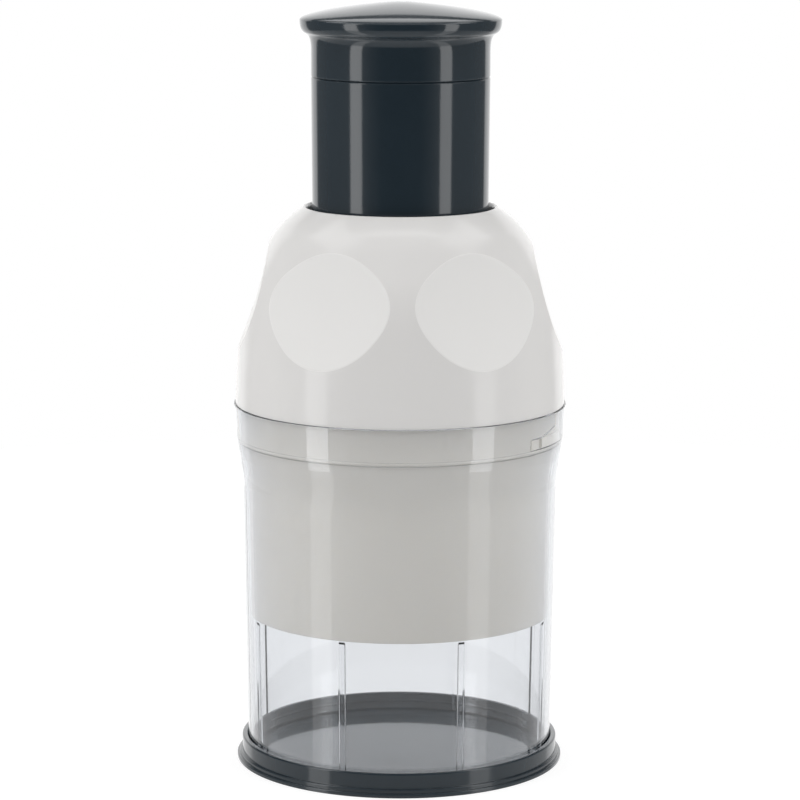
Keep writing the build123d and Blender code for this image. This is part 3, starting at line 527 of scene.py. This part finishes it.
def tube_bearings():
    """Bearings of the grid's columns: even round the tube, close together at the ribs and the grooves."""
    even = np.linspace(0.0, 360.0, EVEN_COLUMNS, endpoint=False)
    beside = np.linspace(-RIB_ARC, RIB_ARC, RIB_COLUMNS)
    ribs = (np.arange(RIB_COUNT) + 0.5)[:, None] * 360.0 / RIB_COUNT + beside
    closed, way_out, end = GROOVE[0], GROOVE[2], GROOVE[3]
    before, after, around = GROOVE_PAST
    run = np.arange(closed - before, way_out + after, GROOVE_COLUMN)
    tail = np.arange(end - around, end + around, GROOVE_COLUMN)
    grooves = np.array([0.0, 180.0])[:, None] + np.r_[run, tail]
    columns = np.sort(np.concatenate([even, ribs.ravel() % 360.0, grooves.ravel() % 360.0]))
    return columns[np.r_[True, np.diff(columns) > CLOSEST]]


def make_tube():
    """Container: tapered tube with a flared collar, eight low ribs inside that run out at their tops,
    and two bayonet grooves pressed into the collar's bore by smooth steps."""
    line, inner = tube_profile()
    bearing = tube_bearings()[None, :]
    radius, height = line[:, :1], line[:, 1:]
    proud, half, side = RIB
    from_rib = bearing % (360.0 / RIB_COUNT) - 180.0 / RIB_COUNT
    across = np.abs(np.radians(from_rib)) * TUBE_FOOT[2]
    rib = (1.0 - ease(across, half - side, half)) * (1.0 - ease(height, *RIB_TOP))
    turn = bearing % 180.0
    closed, ramp, way_out, end = GROOVE
    floor, roof, high = GROOVE_Z
    ended = ease(turn, end - GROOVE_SIDE, end + GROOVE_SIDE)
    arc = ease(turn, closed - GROOVE_SIDE, closed + GROOVE_SIDE) * (1.0 - ended)
    stops = (closed, ramp, way_out - WAY_OUT_SIDE, way_out + WAY_OUT_SIDE)
    top = np.interp(turn, stops, (roof, roof, high, TUBE_LIP[0] + 4.0))   # the way out's roof is above the lip
    sill = ease(height, floor + GROOVE_SILL[0], floor + GROOVE_SILL[1])
    level = sill * (1.0 - ease(height, top - GROOVE_BROW, top + GROOVE_BROW))
    in_bore = height > TUBE_LEDGE[0] + LEDGE_RECESS[1] - 0.02
    groove = (GROOVE_LINE + (GROOVE_D - GROOVE_LINE) * level) * arc * in_bore
    radius = radius + inner[:, None] * (groove - proud * rib)
    tube = turned_ring("clear_tube", radius, height + 0.0 * bearing, np.radians(bearing - 90.0))
    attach(tube, "container")
    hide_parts("container")
    return tube


SPRING_R = 8.6 * MM         # of its middle line
SPRING_WIRE_R = 0.65 * MM
SPRING_TURNS = 9


def make_spring(around=14, steps=48):
    """Open coil of the solid spring's size. Its middle line is
    (R cos a, R sin a, z0 + h a / a1); each ring of the wire is w (n cos b + m sin b) round it, with n
    pointing out and m square to n and to the line, and the two ends close in single points."""
    low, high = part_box("return_spring")
    start, length = low[2] + SPRING_WIRE_R, high[2] - low[2] - 2.0 * SPRING_WIRE_R
    a = np.linspace(0.0, SPRING_TURNS * 2.0 * math.pi, SPRING_TURNS * steps + 1)
    rise = length / a[-1]
    line = np.stack([SPRING_R * np.cos(a), SPRING_R * np.sin(a), start + rise * a], axis=-1)
    out = np.stack([np.cos(a), np.sin(a), 0.0 * a], axis=-1)
    along = np.stack([-SPRING_R * np.sin(a), SPRING_R * np.cos(a), rise + 0.0 * a], axis=-1)
    square = np.cross(out, along / np.linalg.norm(along, axis=1)[:, None])
    b = (np.arange(around) * 2.0 * math.pi / around)[None, :, None]
    rings = line[:, None] + SPRING_WIRE_R * (out[:, None] * np.cos(b) + square[:, None] * np.sin(b))
    here = np.arange(around)
    there = np.roll(here, -1)
    row = np.arange(len(a) - 1)[:, None] * around
    quads = np.stack([row + here, row + there, row + around + there, row + around + here], axis=-1).reshape(-1, 4)
    last, count = (len(a) - 1) * around, len(a) * around
    first_end = np.stack([np.full(around, count), there, here], axis=-1)
    last_end = np.stack([np.full(around, count + 1), last + here, last + there], axis=-1)
    points = rings.reshape(-1, 3).tolist() + [line[0].tolist(), line[-1].tolist()]
    faces = [face for part in (quads, first_end, last_end) for face in part[:, ::-1].tolist()]
    spring = new_piece("closing_spring", points, faces)
    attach(spring, "head")
    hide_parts("return_spring")
    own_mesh(spring)
    return spring


# ---------------------------------------------------------------- finishes

def new_finish(name, **plain):
    """Material with plain values on its shader; gives material, tree and shader."""
    material = bpy.data.materials.new(name)
    material.use_nodes = True
    tree = material.node_tree
    shader = tree.nodes["Principled BSDF"]
    for socket, value in plain.items():
        shader.inputs[socket.replace("_", " ")].default_value = value
    return material, tree, shader


def rgb(*values):
    """Colour with full alpha."""
    return (*values, 1.0)


def set_colour(tree, shader, body, rub, share, rubbed):
    """Body colour, paler or darker where edges are rubbed."""
    worn = mix_colour(tree, calc(tree, "MULTIPLY", rub["rub"], share), body, rubbed)
    tree.links.new(worn, shader.inputs["Base Color"])


def raise_bump(tree, shader, height, distance, normal=None):
    """Bump of a height in metres on the shader's normal."""
    inputs = {"Height": height, "Distance": distance, "Strength": 1.0}
    if normal is not None:
        inputs["Normal"] = normal
    tree.links.new(add(tree, "ShaderNodeBump", inputs).outputs[0], shader.inputs["Normal"])


DARK = rgb(0.0135, 0.0240, 0.0330)
DARK_PALE = rgb(0.020, 0.033, 0.044)
DARK_RUBBED = rgb(0.050, 0.064, 0.076)
LEVEL = (0.90, 0.99)   # upward part of the normal where a level face's polish starts and is full


def dark_gloss(name, gloss=0.075, lines=0.0, floor_polish=0.0, **scratch):
    """Blue-black glossy moulding with rubbed edges and hairlines where it slides or is wiped; level
    faces may have a polish of their own."""
    material, tree, shader = new_finish(name, IOR=1.5)
    skin = use(tree, SKIN, ripple=70.0, pores=1500.0, patches=28.0)
    rub = use(tree, RUB, width=0.0004, breaks=260.0)
    marks = use(tree, HAIRLINES, **scratch)
    body = mix_colour(tree, calc(tree, "MULTIPLY", skin["patch"], 0.35), DARK, DARK_PALE)
    set_colour(tree, shader, body, rub, 0.30, DARK_RUBBED)
    rough = remap(tree, skin["patch"], 0.0, 1.0, gloss, gloss + 0.03, "LINEAR")
    rough = calc(tree, "ADD", rough, calc(tree, "MULTIPLY", rub["rub"], 0.16))
    rough = calc(tree, "ADD", rough, calc(tree, "MULTIPLY", marks["line"], lines))
    tree.links.new(rough, shader.inputs["Roughness"])
    raise_bump(tree, shader, skin["height"], 0.000012, rub["normal"])
    if floor_polish:
        facing = add(tree, "ShaderNodeTexCoord").outputs["Normal"]
        level = remap(tree, add(tree, "ShaderNodeSeparateXYZ", {0: facing}).outputs[2], *LEVEL)
        tree.links.new(calc(tree, "MULTIPLY", level, floor_polish), shader.inputs["Coat Weight"])
    return material


def white_gloss():
    """Glossy warm-white moulding whose finger dishes are satin from a fine spark texture, and painted paler for the
    extra light they catch as they tilt upwards.
    """
    material, tree, shader = new_finish("white_gloss", IOR=1.5, Specular_IOR_Level=0.32)
    skin = use(tree, SKIN, ripple=55.0, pores=1300.0, patches=22.0)
    rub = use(tree, RUB, width=0.0003, breaks=180.0)
    dish = use(tree, DISHES, edge=0.00012)["dish"]
    place = add(tree, "ShaderNodeTexCoord").outputs["Object"]
    spark = add(tree, "ShaderNodeTexNoise", {"Vector": place, "Scale": 2600.0, "Detail": 2.0}).outputs[0]
    tone = calc(tree, "MULTIPLY", skin["patch"], 0.3)
    body = mix_colour(tree, tone, rgb(0.850, 0.839, 0.826), rgb(0.830, 0.817, 0.800))
    # painted light: the dishes get a paler colour that stands in for the extra light falling on them as they face
    # upwards
    body = mix_colour(tree, dish, body, rgb(0.925, 0.916, 0.900))
    set_colour(tree, shader, body, rub, 0.25, rgb(0.78, 0.77, 0.75))
    rough = remap(tree, skin["patch"], 0.0, 1.0, 0.15, 0.20, "LINEAR")
    rough = add(tree, "ShaderNodeMix", {0: dish, 2: rough, 3: 0.46}).outputs[0]
    tree.links.new(rough, shader.inputs["Roughness"])
    fine = calc(tree, "MULTIPLY", calc(tree, "MULTIPLY", spark, dish), 0.5)
    raise_bump(tree, shader, calc(tree, "ADD", skin["height"], fine), 0.000016, rub["normal"])
    return material


def milky_body(name, colour, cloud, gloss=0.34, sheen=0.0):
    """Milky plastic that lets a little light in, with faint flow clouds and a fine matt skin."""
    material, tree, shader = new_finish(
        name, IOR=1.5, Subsurface_Weight=0.18, Subsurface_Radius=(0.0022, 0.0020, 0.0017), Subsurface_Scale=1.0,
        Sheen_Weight=sheen, Sheen_Roughness=0.6,
    )
    skin = use(tree, SKIN, ripple=45.0, pores=1700.0, patches=18.0)
    rub = use(tree, RUB, width=0.0003, breaks=200.0)
    set_colour(tree, shader, mix_colour(tree, skin["patch"], colour, cloud), rub, 0.2, rgb(0.86, 0.85, 0.82))
    tree.links.new(remap(tree, skin["patch"], 0.0, 1.0, gloss, gloss + 0.08, "LINEAR"), shader.inputs["Roughness"])
    raise_bump(tree, shader, skin["height"], 0.00002, rub["normal"])
    return material


def clear_body():
    """Clear polished plastic, faintly grey-blue, with a slight ripple and a few hairlines; its shadow is pale."""
    material, tree, shader = new_finish(
        "clear_plastic", IOR=1.49, Transmission_Weight=1.0, Metallic=0.0, Base_Color=rgb(0.922, 0.929, 0.936),
    )
    skin = use(tree, SKIN, ripple=38.0, pores=900.0, patches=16.0)
    marks = use(tree, HAIRLINES, across=700.0, along=16.0, share=0.70)
    rough = remap(tree, skin["patch"], 0.0, 1.0, 0.0, 0.02, "LINEAR")
    rough = calc(tree, "ADD", rough, calc(tree, "MULTIPLY", marks["line"], 0.05))
    tree.links.new(rough, shader.inputs["Roughness"])
    raise_bump(tree, shader, skin["height"], 0.000002)
    out = tree.nodes["Material Output"]
    shadow = add(tree, "ShaderNodeLightPath").outputs["Is Shadow Ray"]
    pale = add(tree, "ShaderNodeBsdfTransparent", {"Color": rgb(0.90, 0.90, 0.91)})
    mix = add(tree, "ShaderNodeMixShader", {0: shadow, 1: shader.outputs[0], 2: pale.outputs[0]})
    tree.links.new(mix.outputs[0], out.inputs["Surface"])
    depth = add(tree, "ShaderNodeVolumeAbsorption", {"Color": rgb(0.20, 0.26, 0.38), "Density": 64.0})
    tree.links.new(depth.outputs[0], out.inputs["Volume"])
    return material


def acetal_body(name, colour):
    """Slippery natural-white plastic with a soft sheen and polished high spots."""
    material, tree, shader = new_finish(name, IOR=1.48)
    skin = use(tree, SKIN, ripple=90.0, pores=1900.0, patches=60.0)
    rub = use(tree, RUB, width=0.0003, breaks=300.0)
    body = mix_colour(tree, calc(tree, "MULTIPLY", skin["patch"], 0.5), colour, rgb(0.70, 0.69, 0.66))
    set_colour(tree, shader, body, rub, 0.35, rgb(0.82, 0.82, 0.80))
    rough = remap(tree, skin["patch"], 0.0, 1.0, 0.30, 0.40, "LINEAR")
    rough = calc(tree, "SUBTRACT", rough, calc(tree, "MULTIPLY", rub["rub"], 0.12))
    tree.links.new(rough, shader.inputs["Roughness"])
    raise_bump(tree, shader, skin["height"], 0.00002, rub["normal"])
    return material


def rubber_body():
    """Soft black ring: matt, dusty on its faces, its squeezed edges painted paler, partly as wear and partly as a
    painted sheen.
    """
    material, tree, shader = new_finish("soft_rubber", IOR=1.5)
    skin = use(tree, SKIN, ripple=140.0, pores=2400.0, patches=120.0)
    rub = use(tree, RUB, width=0.0004, breaks=300.0)
    body = mix_colour(tree, skin["patch"], rgb(0.030, 0.031, 0.034), rgb(0.052, 0.053, 0.056))
    # rubbed edges painted paler: wear, and a painted sheen where the ring is squeezed
    set_colour(tree, shader, body, rub, 0.5, rgb(0.085, 0.085, 0.088))
    tree.links.new(remap(tree, skin["patch"], 0.0, 1.0, 0.62, 0.80, "LINEAR"), shader.inputs["Roughness"])
    raise_bump(tree, shader, skin["height"], 0.00004, rub["normal"])
    return material


def steel_body(name, colour, worn, pitch, wobble, low, high, depth):
    """Bright steel with turning or drawing marks, slow tone changes and polished edges."""
    material, tree, shader = new_finish(name, Metallic=1.0)
    marks = use(tree, TURNED, pitch=pitch, wobble=wobble)
    rub = use(tree, RUB, width=0.0003, breaks=400.0)
    body = mix_colour(tree, remap(tree, marks["tone"], 0.35, 0.65), rgb(*colour), rgb(*worn))
    set_colour(tree, shader, body, rub, 0.6, rgb(0.80, 0.80, 0.80))
    rough = remap(tree, marks["tone"], 0.3, 0.7, low, high, "LINEAR")
    rough = calc(tree, "SUBTRACT", rough, calc(tree, "MULTIPLY", rub["rub"], 0.08))
    tree.links.new(rough, shader.inputs["Roughness"])
    raise_bump(tree, shader, marks["height"], depth, rub["normal"])
    return material


def paint(material, piece):
    """Gives a new piece its finish."""
    piece.data.materials.append(material)


def assign(material, *nodes):
    """Gives carried-over nodes a finish."""
    for node in nodes:
        for slot in NODES[node].material_slots:
            slot.material = material


def dress_outside():
    """Finishes of the pieces that show: handle, housing, cup, container and base."""
    assign(dark_gloss("cap_gloss", lines=0.06, across=240.0, along=240.0, share=0.66), "handle_cap")
    assign(dark_gloss("sleeve_gloss", lines=0.12, across=900.0, along=10.0, share=0.66), "handle_sleeve")
    wiped = {"across": 300.0, "along": 60.0, "share": 0.64}
    paint(dark_gloss("base_gloss", gloss=0.085, lines=0.10, floor_polish=0.40, **wiped), make_base())
    assign(white_gloss(), "housing")
    assign(milky_body("cup_milky", rgb(0.680, 0.645, 0.578), rgb(0.655, 0.619, 0.552), sheen=1.0), "guard_cup")
    paint(clear_body(), make_tube())


def dress_inside():
    """Finishes of the mechanism: scraper, blade, bridge, ratchet, rod, spring, screws and soft rings."""
    scraper = milky_body("scraper_milky", rgb(0.72, 0.71, 0.68), rgb(0.69, 0.68, 0.65), 0.40)
    assign(scraper, "scraper_disc", "scraper_retainer")
    assign(milky_body("carrier_white", rgb(0.78, 0.775, 0.76), rgb(0.75, 0.745, 0.73), 0.30), "blade_carrier")
    assign(acetal_body("acetal_natural", rgb(0.76, 0.76, 0.74)), "bridge", "ratchet_cover", "guide_ring")
    assign(acetal_body("acetal_warm", rgb(0.76, 0.74, 0.69)), "ratchet_pawls", "index_ring")
    assign(dark_gloss("core_dark", gloss=0.22, lines=0.05, across=400.0, along=400.0, share=0.66), "handle_core")
    assign(rubber_body(), "stroke_buffer", "return_bumper")
    drawn = steel_body("drawn_steel", (0.56, 0.56, 0.57), (0.46, 0.46, 0.47), 2600.0, 60.0, 0.18, 0.30, 0.000004)
    wire = steel_body("spring_steel", (0.50, 0.50, 0.51), (0.38, 0.38, 0.39), 900.0, 300.0, 0.24, 0.38, 0.000005)
    screw = steel_body("screw_steel", (0.58, 0.58, 0.58), (0.44, 0.44, 0.45), 1200.0, 500.0, 0.22, 0.40, 0.000005)
    ground = steel_body("ground_blade", (0.64, 0.64, 0.65), (0.52, 0.52, 0.53), 4200.0, 30.0, 0.16, 0.30, 0.000004)
    assign(drawn, "plunger_rod", "rod_pin")
    paint(wire, make_spring())
    assign(screw, "bridge_screws", "cover_screws", "core_screws")
    assign(ground, "blade")


make_camera()
make_world()
make_lights()
make_floor()
dress_outside()
dress_inside()
bpy.context.scene.view_settings.view_transform = "Standard"
